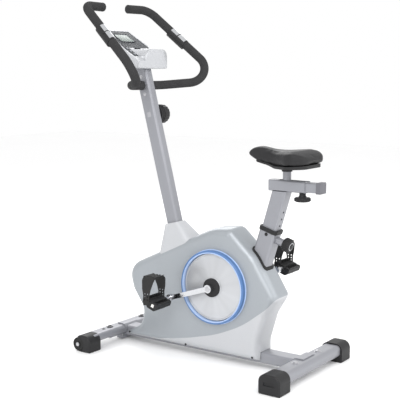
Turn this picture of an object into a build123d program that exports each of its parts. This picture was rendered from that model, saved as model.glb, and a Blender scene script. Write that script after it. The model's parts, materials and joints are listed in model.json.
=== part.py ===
"""Upright magnetic exercise bike, one STEP file per piece.

Millimetres. +X forward (handlebar), +Y to the rider's left, +Z up.
The origin is on the floor under the middle of the bike's outer box.
"""
from build123d import *
from math import asin, atan, cos, degrees, radians, sin, tan
import os

# ---------------------------------------------------------------- driving dimensions
BEAM_W, BEAM_LOW, BEAM_TOP = 60.0, 18.0, 57.0       # main beam across Y, its underside and top
REAR_X, FRONT_X = -395.0, 397.0                     # stabilizer centre lines
REAR_TUBE = (66.0, 20.0, 62.0, 228.0, 78.0)         # depth, low z, high z, half length, bolt y
FRONT_TUBE = (60.0, 29.0, 60.0, 212.0, 95.0)
TUBE_WALL = 2.0

MAST_X, MAST_Z = 159.0, 475.0                       # a point on the handlebar mast's axis
MAST_LEAN = degrees(atan(0.26))                     # forward
MAST_D, MAST_W = 50.0, 40.0                         # fore-aft, across
MAST_TOP = 1058.0
STUB_D, STUB_W = MAST_D - 5.0, MAST_W - 5.0          # stub on the beam, inside the mast
BRAKE_PIVOT = (156.0, 0.0, 303.0)
CABLE_END = (190.0, 0.0, 333.0)
PIN_Z = 460.0                                       # height pin, measured on the seat tube axis

SEAT_X, SEAT_Z = -238.5, 448.0                      # a point on the seat tube's axis
SEAT_LEAN = -degrees(atan(0.305))                   # rearward
SEAT_TUBE_D, SEAT_TUBE_W = 65.0, 52.0
POST_D, POST_W = 55.0, 43.0
COLLAR_Z, COLLAR_H = 480.0, 13.0                    # mouth of the seat tube, bush flange
HOLE_PITCH, HOLE_R = 25.0, 4.2                      # seat height holes

CRANK_X, CRANK_Z = -55.0, 270.0
CRANK_LENGTH, CRANK_ANGLE = 165.0, -18.0            # left arm, degrees below forward
SPINDLE_R, PEDAL_SPINDLE_R = 10.0, 7.0
HUB_IN, HUB_OUT = 84.0, 99.0                        # crank arm faces along Y at the axle
EYE_IN, EYE_OUT = 101.0, 114.0                      # and at the pedal
RUN_GAP = 0.05                                      # radial gap of a running fit
DISC_R, RING_R = 119.0, 131.0
PULLEY_R, SMALL_PULLEY_R, BELT_Y = 100.0, 14.0, 41.0

WHEEL_X, WHEEL_Z, WHEEL_R = 216.0, 226.0, 84.0      # flywheel

COVER_HALF = 58.0                                   # housing half width
COVER_WALL = 3.0

BAR_R, FOAM_R = 12.7, 16.0
BAR_Z = 967.0

SLEEVE_W, SLEEVE_LOW, SLEEVE_TOP = 40.0, 621.0, 659.0
SLEEVE_FRONT, SLEEVE_REAR = -249.0, -387.0
SADDLE_POST_X, SADDLE_POST_R = -309.0, 14.0


# ---------------------------------------------------------------- small helpers
def leaning_plane(x, z, lean):
    """Plane whose local z runs up a tube that leans by lean degrees, local x fore-aft."""
    a = radians(lean)
    return Plane(origin=(x, 0, z), x_dir=(cos(a), 0, -sin(a)), z_dir=(sin(a), 0, cos(a)))


def mast_plane(z):
    return leaning_plane(MAST_X + tan(radians(MAST_LEAN)) * (z - MAST_Z), z, MAST_LEAN)


def seat_plane(z):
    return leaning_plane(SEAT_X + tan(radians(SEAT_LEAN)) * (z - SEAT_Z), z, SEAT_LEAN)


def bar(plane, length, depth, width, corner):
    """Solid bar with a rounded rectangular section along a plane's normal."""
    return extrude(plane * RectangleRounded(depth, width, corner), amount=length)


def tube(plane, length, depth, width, corner, wall=TUBE_WALL):
    """Hollow bar with a rounded rectangular section along a plane's normal."""
    inner = bar(plane, length, depth - 2 * wall, width - 2 * wall, corner - wall)
    return bar(plane, length, depth, width, corner) - inner


def box(x0, x1, y0, y1, z0, z1):
    centre = ((x0 + x1) / 2, (y0 + y1) / 2, (z0 + z1) / 2)
    return Pos(*centre) * Box(x1 - x0, y1 - y0, z1 - z0)


def rod(start, end, radius):
    """Round bar between two points."""
    direction = Vector(*end) - Vector(*start)
    return extrude(Plane(origin=start, z_dir=direction) * Circle(radius), amount=direction.length)


def disc_y(x, z, radius, y0, y1):
    """Round bar along Y."""
    return rod((x, y0, z), (x, y1, z), radius)


def profile(points, half_width):
    """Solid of an XZ outline, each point given as (x, z, corner radius), centred on y = 0."""
    line = FilletPolyline(*[(x, z) for x, z, r in points], radius=[r for x, z, r in points], close=True)
    return extrude(Plane.XZ * make_face(line), amount=half_width, both=True)


def mirrored(part):
    return mirror(part, about=Plane.XZ)


def above(part, z):
    return part - box(-700, 700, -300, 300, z - 900, z)


def below(part, z):
    return part - box(-700, 700, -300, 300, z, z + 1500)


def left_half(part, gap=0.0):
    return part - box(-700, 700, -400, gap, -50, 1400)


def right_half(part, gap=0.0):
    return part - box(-700, 700, -gap, 400, -50, 1400)


def group(*solids):
    """Several separate solids kept as one node."""
    return Compound(children=[piece for part in solids for piece in part.solids()])


# ---------------------------------------------------------------- base
def stabilizer_section(x, spec, grow=0.0):
    depth, low, high, half = spec[:4]
    plane = Plane(origin=(x, -half - grow, (low + high) / 2), x_dir=(1, 0, 0), z_dir=(0, 1, 0))
    return plane, depth + 2 * grow, high - low + 2 * grow, 15.0 + grow, 2 * (half + grow)


def stabilizer(x, spec):
    plane, depth, height, corner, length = stabilizer_section(x, spec)
    part = tube(plane, length, depth, height, corner)
    for side in (-1, 1):
        part -= rod((x, side * spec[4], 0), (x, side * spec[4], 80), HOLE_R)
    return part


def bracket(x, spec, inward):
    """Saddle that wraps the inner side of a stabilizer, with a bolted flange below it."""
    plane, depth, height, corner, length = stabilizer_section(x, spec, 4.2)
    skin = bar(plane, length, depth, height, corner)
    rear, front = sorted((x - 8 * inward, x + 90 * inward))
    skin = skin & box(rear, front, -39, 39, 2, 90)
    low = spec[1]
    flange = box(x - 18, x + 18, -spec[4] - 16, spec[4] + 16, low - 4.2, low - 0.2)
    inner_plane, *inner_size = stabilizer_section(x, spec, 0.2)
    inner_depth, inner_height, inner_corner, inner_length = inner_size
    part = skin + flange
    part -= bar(inner_plane, inner_length, inner_depth, inner_height, inner_corner)
    for side in (-1, 1):
        part -= rod((x, side * spec[4], 0), (x, side * spec[4], 80), HOLE_R)
    return part


def main_beam():
    plane = Plane(origin=(REAR_X + 20, 0, (BEAM_LOW + BEAM_TOP) / 2), x_dir=(0, 1, 0), z_dir=(1, 0, 0))
    part = tube(plane, FRONT_X - REAR_X - 40, BEAM_W, BEAM_TOP - BEAM_LOW, 8.0, 2.5)
    for x, spec, inward in ((REAR_X, REAR_TUBE, 1), (FRONT_X, FRONT_TUBE, -1)):
        section, depth, height, corner, length = stabilizer_section(x, spec, 0.2)
        part = part - bar(section, length, depth, height, corner) + bracket(x, spec, inward)
    return part + box(FRONT_X - 14, FRONT_X + 14, -38, 38, 4, FRONT_TUBE[1] - 4)


def end_cap(x, depth, length, height, spec, side, wheel_pocket=None):
    """D-shaped end cap: flat foot, upright sides, rounded top, socket for the tube."""
    outer = 250.0
    outline = [(x - depth / 2, 0, 5), (x - depth / 2, height, 26), (x + depth / 2, height, 26),
               (x + depth / 2, 0, 5)]
    part = profile(outline, outer)
    part = part & box(x - depth, x + depth, outer - length, outer, 0, height)
    part = chamfer(part.faces().sort_by(Axis.Y)[-1].edges(), 4)
    if side < 0:
        part = mirrored(part)
    section, tube_depth, tube_height, tube_corner, tube_length = stabilizer_section(x, spec, 0.2)
    part -= bar(section, tube_length, tube_depth, tube_height, tube_corner)
    if wheel_pocket:
        wx, wz, wr, wy = wheel_pocket
        part -= disc_y(wx, wz, wr, side * wy, side * (outer + 5))
        part -= box(wx, wx + 60, min(side * wy, side * 255), max(side * wy, side * 255), wz - wr, wz + wr)
    return part


CAP_WHEEL = (419.0, 27.0, 25.0, 24.0)               # x, z, radius, width of a transport wheel


def front_cap(side):
    x, z, r, w = CAP_WHEEL
    part = end_cap(FRONT_X, 69, 62, 62, FRONT_TUBE, side, (x, z, r + 2, 250 - w - 1.5))
    return part - disc_y(x, z, 4.0, side * 212.3, side * 230)


def rear_cap(side):
    part = end_cap(REAR_X, 81, 68, 67, REAR_TUBE, side)
    slot = box(REAR_X - 20, REAR_X + 20, min(side * 247, side * 252), max(side * 247, side * 252), 30, 42)
    return part - slot


def transport_wheel(side):
    x, z, r, w = CAP_WHEEL
    part = disc_y(x, z, r, side * (249.0 - w), side * 249.0)
    part = chamfer(part.edges().filter_by(GeomType.CIRCLE), 2)
    part -= disc_y(x, z, r - 6, side * 244, side * 250) - disc_y(x, z, 9, side * 243, side * 251)
    return part - disc_y(x, z, 4.0 + RUN_GAP, side * 220, side * 252)


def wheel_pin(side):
    x, z = CAP_WHEEL[:2]
    return disc_y(x, z, 4.0, side * 212.4, side * 249.4) + disc_y(x, z, 7.0, side * 249.3, side * 251.8)


def frame_bolts():
    """Carriage bolts of the stabilizers, bolts of the mast socket and transport wheel pins."""
    bolts = [wheel_pin(-1), wheel_pin(1)]
    for x, spec in ((REAR_X, REAR_TUBE), (FRONT_X, FRONT_TUBE)):
        for side in (-1, 1):
            y = side * spec[4]
            head = rod((x, y, spec[2]), (x, y, spec[2] + 4), 9.5)
            nut = extrude(Pos(x, y, spec[1] - 11.2) * RegularPolygon(7.5, 6), amount=7)
            bolts.append(rod((x, y, spec[1] - 9), (x, y, spec[2] + 1), 4.0) + head + nut)
    for height in (412.0, 446.0):
        plane = mast_plane(height)
        for side in (-1, 1):
            start = plane.origin + Vector(0, side * 14.5, 0)
            end = plane.origin + Vector(0, side * (MAST_W / 2 + 0.1), 0)
            tip = plane.origin + Vector(0, side * (MAST_W / 2 + 4.5), 0)
            bolts.append(rod(start, tip, 4.0) + rod(end, tip, 7.0))
    return group(*bolts)


def mast_bolt_holes():
    return [rod(mast_plane(z).origin - Vector(0, 40, 0), mast_plane(z).origin + Vector(0, 40, 0), 4.1)
            for z in (412.0, 446.0)]


# ---------------------------------------------------------------- uprights
def seat_tube():
    height = (COLLAR_Z - BEAM_TOP) / cos(radians(SEAT_LEAN)) + 30
    part = tube(seat_plane(BEAM_TOP - 30 * cos(radians(SEAT_LEAN))), height,
                SEAT_TUBE_D, SEAT_TUBE_W, 10)
    part = above(part, BEAM_TOP) - bar(seat_plane(COLLAR_Z), 80, 90, 90, 5)
    part += rod(pin_axis(SEAT_TUBE_D / 2 - 1), pin_axis(60), 13)
    return part - rod(pin_axis(20), pin_axis(70), HOLE_R + 0.3)


def pin_axis(distance):
    """Point on the height pin's axis, distance behind the seat tube's axis."""
    return (seat_plane(PIN_Z) * Pos(-distance, 0, 0)).position


def mast_stub():
    part = tube(mast_plane(BEAM_TOP - 20), 405, STUB_D, STUB_W, 6)
    part = above(part, BEAM_TOP)
    lug = Vector(*BRAKE_PIVOT)
    ears = [rod((lug.X, side * 15, lug.Z), (lug.X, side * 11, lug.Z), 9)
            + box(lug.X - 30, lug.X, *sorted((side * 11, side * 15)), lug.Z - 8, lug.Z + 8)
            for side in (-1, 1)]
    shell = bar(mast_plane(BEAM_TOP - 20), 405, STUB_D - 4, STUB_W - 4, 4)
    for ear in ears:
        part += ear - shell
    part -= disc_y(lug.X, lug.Z, 4.0 + RUN_GAP, -20, 20)
    part -= rod(cable_bend(), CABLE_END, 4.0)
    for hole in mast_bolt_holes():
        part -= hole
    return part


def cable_bend():
    """Point on the mast's axis where the brake cable turns forward."""
    return tuple(mast_plane(350.0).origin)


def mast():
    start = mast_plane(392.0)
    length = (MAST_TOP - 392.0) / cos(radians(MAST_LEAN))
    part = tube(start, length, MAST_D, MAST_W, 9)
    part -= rod((bar_x(), -40, BAR_Z), (bar_x(), 40, BAR_Z), BAR_R + 0.2)
    part -= dial_rod(15, 30, 7.0)
    for hole in mast_bolt_holes():
        part -= hole
    return part


def bar_x():
    return MAST_X + tan(radians(MAST_LEAN)) * (BAR_Z - MAST_Z)


def crank_post():
    """Post on the beam that carries the crank bearing shell."""
    plane = Plane(origin=(CRANK_X, 0, BEAM_TOP), x_dir=(1, 0, 0), z_dir=(0, 0, 1))
    part = tube(plane, CRANK_Z - BEAM_TOP, 50, 40, 6)
    part += disc_y(CRANK_X, CRANK_Z, 24, -32, 32)
    return part - disc_y(CRANK_X, CRANK_Z, 20, -40, 40)


def flywheel_fork():
    foot = box(WHEEL_X - 35, WHEEL_X + 35, -30, 53, BEAM_TOP, BEAM_TOP + 4)
    part = foot
    for y in (-28.0, 49.0):
        plate = box(WHEEL_X - 35, WHEEL_X + 35, y, y + 4, BEAM_TOP, BEAM_TOP + 12)
        plate += box(WHEEL_X - 18, WHEEL_X + 18, y, y + 4, BEAM_TOP, WHEEL_Z)
        part += plate + disc_y(WHEEL_X, WHEEL_Z, 18, y, y + 4)
    return part - disc_y(WHEEL_X, WHEEL_Z, 6.0, -50, 60)


# ---------------------------------------------------------------- drive
def crank_axle():
    part = disc_y(CRANK_X, CRANK_Z, SPINDLE_R, -HUB_OUT - 3, HUB_OUT + 3)
    part += disc_y(CRANK_X, CRANK_Z, 22, 34, 37.5)
    return part


def crank_bearings():
    rings = [disc_y(CRANK_X, CRANK_Z, 20, side * 18, side * 30)
             - disc_y(CRANK_X, CRANK_Z, SPINDLE_R + RUN_GAP, side * 17, side * 31) for side in (-1, 1)]
    return group(*rings)


def drive_pulley():
    part = disc_y(CRANK_X, CRANK_Z, PULLEY_R, BELT_Y - 3.5, BELT_Y + 6)
    rim = disc_y(CRANK_X, CRANK_Z, PULLEY_R - 8, BELT_Y - 0.5, BELT_Y + 7)
    part -= rim - disc_y(CRANK_X, CRANK_Z, 24, BELT_Y - 1, BELT_Y + 8)
    for step in range(6):
        angle = radians(60 * step)
        part -= disc_y(CRANK_X + 58 * cos(angle), CRANK_Z + 58 * sin(angle), 20, 30, 60)
    return part - disc_y(CRANK_X, CRANK_Z, SPINDLE_R, 30, 60)


def drive_belt():
    """Flat ribbed belt round both pulleys."""
    def loop(extra, y0, y1):
        big, small = PULLEY_R + extra, SMALL_PULLEY_R + extra
        dx, dz = WHEEL_X - CRANK_X, WHEEL_Z - CRANK_Z
        length = (dx * dx + dz * dz) ** 0.5
        pitch = degrees(atan(dz / dx))
        lean = degrees(asin((big - small) / length))
        body = disc_y(CRANK_X, CRANK_Z, big, y0, y1) + disc_y(WHEEL_X, WHEEL_Z, small, y0, y1)
        corners = []
        pulley, wheel = (CRANK_X, CRANK_Z, big), (WHEEL_X, WHEEL_Z, small)
        for (centre_x, centre_z, radius), sign in ((pulley, 1), (wheel, 1), (wheel, -1), (pulley, -1)):
            angle = radians(pitch + sign * (90 - lean))
            corners.append((centre_x + radius * cos(angle), centre_z + radius * sin(angle)))
        face = make_face(Polyline(*corners, close=True))
        web = extrude(Plane.XZ * face, amount=(y1 - y0) / 2, both=True)
        return body + Pos(0, (y0 + y1) / 2, 0) * web
    return loop(1.8, BELT_Y - 3, BELT_Y + 5) - loop(0.3, BELT_Y - 4, BELT_Y + 6)


def flywheel():
    part = disc_y(WHEEL_X, WHEEL_Z, WHEEL_R, -10, 10)
    for y0, y1 in ((6, 12), (-12, -6)):
        part -= disc_y(WHEEL_X, WHEEL_Z, WHEEL_R - 14, y0, y1) - disc_y(WHEEL_X, WHEEL_Z, 26, y0, y1)
    part += disc_y(WHEEL_X, WHEEL_Z, 13, -22, 36)
    part += disc_y(WHEEL_X, WHEEL_Z, SMALL_PULLEY_R, 36, 47)
    return part - disc_y(WHEEL_X, WHEEL_Z, 6.0 + RUN_GAP, -30, 60)


def flywheel_axle():
    part = disc_y(WHEEL_X, WHEEL_Z, 6.0, -38, 54.4)
    return part + disc_y(WHEEL_X, WHEEL_Z, 9.0, -33, -28) + disc_y(WHEEL_X, WHEEL_Z, 9.0, 53.0, 54.4)


def brake_caliper():
    """Curved magnet carrier that straddles the flywheel's rim."""
    ring = disc_y(WHEEL_X, WHEEL_Z, 98, -15, 15) - disc_y(WHEEL_X, WHEEL_Z, 91, -15, 15)
    cheeks = disc_y(WHEEL_X, WHEEL_Z, 98, -15, 15) - disc_y(WHEEL_X, WHEEL_Z, 72, -20, 20)
    cheeks -= disc_y(WHEEL_X, WHEEL_Z, 110, -12, 12)
    wedge = make_face(Polyline((WHEEL_X, WHEEL_Z), (WHEEL_X + 50, WHEEL_Z + 130),
                               (WHEEL_X - 62, WHEEL_Z + 110), close=True))
    sector = extrude(Plane.XZ * wedge, amount=30, both=True)
    part = (ring + cheeks) & sector
    px, _, pz = BRAKE_PIVOT
    arm = box(px, px + 26, -9, 9, pz - 4, pz + 5) - disc_y(WHEEL_X, WHEEL_Z, 91, -20, 20)
    part += arm + disc_y(px, pz, 7.5, -9, 9)
    return part + disc_y(px, pz, 4.0, -17, 17)


def crank_arm(side):
    """Tapered arm that flares outward past the disc; built pointing forward, then turned."""
    reach = CRANK_LENGTH
    flare = [(-20, HUB_IN), (34, HUB_IN), (118, EYE_IN), (reach + 15, EYE_IN), (reach + 15, EYE_OUT),
             (112, EYE_OUT), (30, HUB_OUT), (-20, HUB_OUT)]
    part = extrude(make_face(Polyline(*flare, close=True)), amount=20, both=True)
    taper = Polyline((-12, -9), (reach, -8), (reach, 8), (-12, 9), close=True)
    part = part & extrude(Plane.XZ * make_face(taper), amount=140, both=True)
    part += disc_y(0, 0, 14.5, HUB_IN - 2, HUB_OUT + 2) + disc_y(reach, 0, 12.5, EYE_IN - 1, EYE_OUT + 1)
    part -= disc_y(0, 0, SPINDLE_R, -130, 130)
    part -= disc_y(reach, 0, PEDAL_SPINDLE_R, -130, 130)
    part = Rot(0, -CRANK_ANGLE if side > 0 else 180 - CRANK_ANGLE, 0) * part
    if side < 0:
        part = mirrored(part)
    return Pos(CRANK_X, 0, CRANK_Z) * part


def pedal_axis(side):
    turn = radians(CRANK_ANGLE if side > 0 else CRANK_ANGLE + 180)
    return CRANK_X + CRANK_LENGTH * cos(turn), CRANK_Z + CRANK_LENGTH * sin(turn)


def pedal_spindles():
    spindles = []
    for side in (-1, 1):
        x, z = pedal_axis(side)
        spindles.append(disc_y(x, z, PEDAL_SPINDLE_R, side * (EYE_IN - 1), side * (PEDAL_OUT - 6))
                        + disc_y(x, z, 10, side * (EYE_OUT + 1.3), side * (EYE_OUT + 6)))
    return group(*spindles)


PEDAL_IN, PEDAL_OUT = 140.0, 222.0                  # inner and outer ends along Y
PEDAL_TILT = -20.0                                  # toe up


def pedal(side):
    """Weighted platform pedal with grip bars, built level and then tilted toe up."""
    mid = (PEDAL_IN + PEDAL_OUT) / 2
    outline = [(-30, -11, 4), (-30, 9, 4), (31, 12, 4), (36, 8, 3), (32, -11, 5)]
    part = Pos(0, mid, 0) * profile(outline, (PEDAL_OUT - PEDAL_IN) / 2)
    for x0, x1 in ((-24, -13), (13, 24)):
        part -= box(x0, x1, PEDAL_IN + 10, PEDAL_OUT - 10, -30, 30)
    weight = Pos(0, mid, 0) * profile([(-18, -24, 8), (-22, -10, 0), (22, -10, 0), (18, -24, 8)], 30)
    part += weight
    for x in (-27, -11, 11, 27):
        part += box(x - 1.5, x + 1.5, PEDAL_IN + 6, PEDAL_OUT - 6, 4, 13)
    part = Rot(0, PEDAL_TILT, 0) * part
    part -= rod((0, 0, 0), (0, PEDAL_OUT - 5, 0), PEDAL_SPINDLE_R + RUN_GAP)
    x, z = pedal_axis(side)
    if side < 0:
        part = mirrored(part)
    return Pos(x, 0, z) * part


STRAP_X = 15.0                                       # strap ahead of the pedal spindle


def pedal_strap(side):
    """Moulded foot strap that arches over the pedal, with two rows of adjusting slots."""
    y0, y1, foot, top = PEDAL_IN - 4.4, PEDAL_OUT + 4.4, -6.0, 92.0
    outer = [(y0, foot), (y0 + 2, 50), (y0 + 14, top), (y1 - 14, top), (y1 - 2, 50), (y1, foot)]
    t = 3.0
    inner = [(y1 - t, foot), (y1 - 2 - t, 49), (y1 - 15 - t / 2, top - t), (y0 + 15 + t / 2, top - t),
             (y0 + 2 + t, 49), (y0 + t, foot)]
    line = FilletPolyline(*outer, *inner, radius=[0, 30, 24, 24, 30, 0, 0, 28, 22, 22, 28, 0], close=True)
    part = extrude(Plane.YZ * make_face(line), amount=26, both=True)
    part = part & profile([(-12, foot, 0), (-13, 30, 20), (-25, 80, 10), (-25, 93, 0),
                           (25, 93, 0), (25, 80, 10), (13, 30, 20), (12, foot, 0)], 260)
    for z in (14, 24, 34):
        for x in (-6, 6):
            part -= box(x - 2.5, x + 2.5, PEDAL_IN - 20, PEDAL_OUT + 20, z - 2.5, z + 2.5)
    part = Pos(STRAP_X, 0, 0) * part
    part -= rod((0, PEDAL_IN - 10, 0), (0, PEDAL_IN + 5, 0), PEDAL_SPINDLE_R + 2)
    x, z = pedal_axis(side)
    if side < 0:
        part = mirrored(part)
    return Pos(x, 0, z) * part


def crank_disc(side):
    """Shallow dished disc that turns with the crank, with a raised hub."""
    outline = [(SPINDLE_R, 60), (34, 60), (36, 66), (DISC_R, 63), (DISC_R, 66), (36, 70), (32, 72),
               (32, HUB_IN - 4), (SPINDLE_R, HUB_IN - 4)]
    part = revolve(make_face(Polyline(*outline, close=True)), Axis.Y)
    part = Pos(CRANK_X, 0, CRANK_Z) * part
    return part if side > 0 else mirrored(part)


# ---------------------------------------------------------------- covers
HOUSING = [(-232, 28, 6), (352, 28, 3), (352, 42, 6), (287, 78, 60), (272, 140, 50), (322, 212, 50),
           (345, 296, 62), (196, 366, 220), (-40, 476, 160), (-116, 482, 32), (-214, 396, 120),
           (-304, 257, 26), (-262, 190, 80), (-232, 90, 60)]


BEVELS = ((12.0, 12.0), (9.0, 26.0), (6.0, 46.0), (5.0, 66.0))  # width across Y and taper, crest to side


def housing_solid(inset=0.0):
    """Outer shape of the housing with stepped bevels to each side, or the space inside its wall."""
    line = FilletPolyline(*[(x, z) for x, z, r in HOUSING], radius=[r for x, z, r in HOUSING], close=True)
    face = make_face(line)
    if inset:
        face = offset(face, -inset)
    level = COVER_HALF - inset - sum(width for width, taper in BEVELS)
    part = extrude(Plane.XZ * face, amount=level, both=True)
    for width, taper in BEVELS:
        plane = Plane(origin=(0, level, 0), x_dir=(1, 0, 0), z_dir=(0, -1, 0))
        side = extrude(plane * face, amount=-width, taper=taper)
        part += side + mirrored(side)
        face = offset(face, -width * tan(radians(taper)))
        level += width
    return part


def cover_space():
    """Everything that passes through the covers and needs a hole in them."""
    holes = [bar(seat_plane(100), 500, SEAT_TUBE_D + 3, SEAT_TUBE_W + 3, 11),
             bar(mast_plane(60), 500, MAST_D + 6, MAST_W + 6, 10),
             box(-500, 500, -BEAM_W / 2 - 1, BEAM_W / 2 + 1, -5, BEAM_TOP + 1),
             disc_y(CRANK_X, CRANK_Z, 26, -90, 90)]
    return holes


PARTING = [(360, 36), (200, 40), (60, 66), (-60, 97), (-170, 146), (-262, 216), (-330, 292)]


def lower_region():
    """Region below the line where upper and lower covers meet."""
    line = FilletPolyline(*PARTING, (-420, 292), (-420, -20), (360, -20),
                          radius=[0, 400, 500, 500, 400, 200, 0, 0, 0, 0], close=True)
    return extrude(Plane.XZ * make_face(line), amount=80, both=True)


# ---------------------------------------------------------------- handlebar
GRIP_START = 27.0
SENSOR = (0.50, 0.70)                                # along the straight of the arm


def bar_points(side):
    return [(bar_x(), 0, BAR_Z), (bar_x(), side * 90, BAR_Z), (113, side * 243, 986),
            (420, side * 183, 1250), (431, side * 73, 1250)]


BEND = (60.0, 62.0, 50.0)


def sweep_round(points, radii, radius):
    path = FilletPolyline(*points, radius=list(radii))
    start = Plane(origin=path @ 0, z_dir=path % 0)
    return sweep(start * Circle(radius), path=path)


def arm_point(side, share):
    a, b = bar_points(side)[2], bar_points(side)[3]
    return tuple(p + (q - p) * share for p, q in zip(a, b))


def handlebar():
    left, right = bar_points(1), bar_points(-1)
    points = right[:0:-1] + left[1:]
    radii = BEND[::-1] + BEND
    return sweep_round(points, radii, BAR_R) - sweep_round(points, radii, BAR_R - 1.6)


def lower_grip(side):
    points = [(bar_x(), side * GRIP_START, BAR_Z)] + bar_points(side)[1:3] + [arm_point(side, SENSOR[0])]
    return sweep_round(points, BEND[:2], FOAM_R) - sweep_round(points, BEND[:2], BAR_R + 0.1)


def upper_grip(side):
    points = [arm_point(side, SENSOR[1])] + bar_points(side)[3:]
    return sweep_round(points, BEND[2:], FOAM_R) - sweep_round(points, BEND[2:], BAR_R + 0.1)


def sensor_frame(side, share):
    a, b = Vector(*arm_point(side, 0)), Vector(*arm_point(side, 1))
    along = (b - a).normalized()
    up = Vector(-0.6, 0, 0.8)
    across = along.cross(up).normalized()
    return Plane(origin=arm_point(side, share), x_dir=across, z_dir=along)


def sensor_length():
    return (Vector(*arm_point(1, SENSOR[1])) - Vector(*arm_point(1, SENSOR[0]))).length


def pulse_sensor(side):
    """Moulded pulse sensor body around the bar, fuller on its underside."""
    plane = sensor_frame(side, SENSOR[0])
    length = sensor_length() - 1
    section = Circle(16.6) + Pos(0, 4.5) * Circle(18.0)
    part = extrude(plane * Pos(0, 0, 0.5) * section, amount=length)
    part -= extrude(plane * Circle(BAR_R + 0.1), amount=length + 5)
    return part


def sensor_plates():
    plates = []
    for side in (-1, 1):
        plane = sensor_frame(side, SENSOR[0])
        arc = Circle(17.7) - Circle(16.7) - Pos(0, 9.5) * Rectangle(60, 40)
        for start in (6.0, 43.0):
            plates.append(extrude(plane * Pos(0, 0, start) * arc, amount=33))
    return group(*plates)


# ---------------------------------------------------------------- console
PANEL_START, PANEL_TILT = (320.0, 1096.0), 32.8
PANEL_TOP = 140.0


def panel_plane(s=0.0, y=0.0, lift=0.0):
    """Plane on the console's display face: local x up the slope, local y to the left."""
    a = radians(PANEL_TILT)
    origin = (PANEL_START[0] + s * cos(a) - lift * sin(a), y, PANEL_START[1] + s * sin(a) + lift * cos(a))
    return Plane(origin=origin, x_dir=(cos(a), 0, sin(a)), z_dir=(-sin(a), 0, cos(a)))


BUTTONS = {"mode_button": (8.0, 61.0), "set_button": (-11.0, 59.0), "reset_button": (-30.0, 57.0)}
BUTTON_R = 5.0


def panel_outline(grow=0.0):
    points = [(-44 - grow, 46 - grow), (12 - grow, 46 - grow), (12 - grow, -76 - grow),
              (134 + grow, -70 - grow), (134 + grow, 70 + grow), (0, 76 + grow), (-44 - grow, 70 + grow)]
    return make_face(FilletPolyline(*points, radius=[4, 0.5, 8, 10, 10, 30, 5], close=True))


def console_outline():
    """Outline of the console seen square to its face; it narrows toward the top."""
    points = [(-150, -84), (30, -84), (150, -71), (150, 71), (30, 84), (-150, 84)]
    return make_face(Polyline(*points, close=True))


KEY_SIDE, KEY_DEPTH = 46.0, 24.0                    # the key strip's inner edge and its thickness


def key_notch(inner_edge, depth):
    """Space left free below the key strip at the console's left."""
    strip = Pos(-20, inner_edge + 30) * Rectangle(200, 60)
    return extrude(panel_plane(lift=-depth) * strip, amount=-200)


def console_shell():
    a = radians(PANEL_TILT)
    top = (PANEL_START[0] + PANEL_TOP * cos(a), PANEL_START[1] + PANEL_TOP * sin(a))
    toe = (256.0, PANEL_START[1] - (PANEL_START[0] - 256.0) * tan(a))
    outline = [(256, 1027, 8), (toe[0], toe[1], 4), (top[0], top[1], 6), (446, 1160, 5), (324, 1062, 40),
               (296, 1028, 10)]
    part = profile(outline, 84)
    part = part & extrude(panel_plane(lift=-200) * console_outline(), amount=260)
    part -= key_notch(KEY_SIDE, KEY_DEPTH)
    hump = box(256, 323, -84, 44, 1030, 1098)
    hump = fillet(hump.edges().filter_by(Axis.X).sort_by(Axis.Z)[-2:], 28)
    part += hump
    part -= extrude(panel_plane(lift=-3.2) * panel_outline(0.3), amount=3.3) - hump
    inner = profile([(260, 1031, 4), (260, toe[1] - 4, 3), (top[0] - 14, top[1] - 12, 2), (418, 1147, 2),
                     (322, 1069, 36), (290, 1031, 7)], 80)
    inner -= key_notch(KEY_SIDE - 3, KEY_DEPTH - 3)
    part -= inner
    part -= bar(mast_plane(1000), 120, MAST_D + 0.6, MAST_W + 0.6, 9)
    return part


def console_face():
    part = extrude(panel_plane(lift=-3.0) * panel_outline(), amount=3.0)
    part -= box(256, 323.3, -84, 44.3, 1030, 1098)
    part -= extrude(panel_plane(80, 4, -1.8) * RectangleRounded(46.4, 72.4, 4.2), amount=3)
    for s, y in BUTTONS.values():
        part -= extrude(panel_plane(s, y, -5) * Circle(BUTTON_R + 0.3), amount=9)
    return part


def console_lens():
    return extrude(panel_plane(80, 4, -1.7) * RectangleRounded(46, 72, 4), amount=2.0)


def console_button(s, y):
    part = extrude(panel_plane(s, y, -1.4) * Circle(BUTTON_R), amount=3.4)
    return chamfer(part.faces().sort_by(Axis.Z)[-1].edges(), 0.6)


# ---------------------------------------------------------------- tension control
DIAL_Z, DIAL_R = 862.0, 33.0                        # on the mast's right face


def dial_rod(start, end, radius):
    """Round bar on the dial's axis between two distances to the right of the mast's middle."""
    centre = mast_plane(DIAL_Z).origin
    return disc_y(centre.X, centre.Z, radius, -start, -end)


def dial_base():
    face = MAST_W / 2 + 0.1
    part = dial_rod(face, face + 14, DIAL_R - 3)
    return part - dial_rod(15, 60, 6.0 + RUN_GAP)


def tension_dial():
    face = MAST_W / 2 + 0.1
    part = dial_rod(face + 14.4, face + 45, DIAL_R)
    part = chamfer(part.edges().filter_by(GeomType.CIRCLE), 3)
    centre = mast_plane(DIAL_Z).origin
    for step in range(18):
        angle = radians(20 * step)
        x, z = centre.X + (DIAL_R + 1.4) * cos(angle), centre.Z + (DIAL_R + 1.4) * sin(angle)
        part -= disc_y(x, z, 2.6, -face - 18, -face - 55)
    return part + dial_rod(14, face + 20, 6.0)


def tension_cable():
    """Brake cable inside the mast, from the dial down to the magnet carrier."""
    upper = tuple(mast_plane(DIAL_Z - 22).origin)
    path = FilletPolyline(upper, cable_bend(), CABLE_END, radius=18)
    return sweep(Plane(origin=path @ 0, z_dir=path % 0) * Circle(2.0), path=path)


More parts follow.
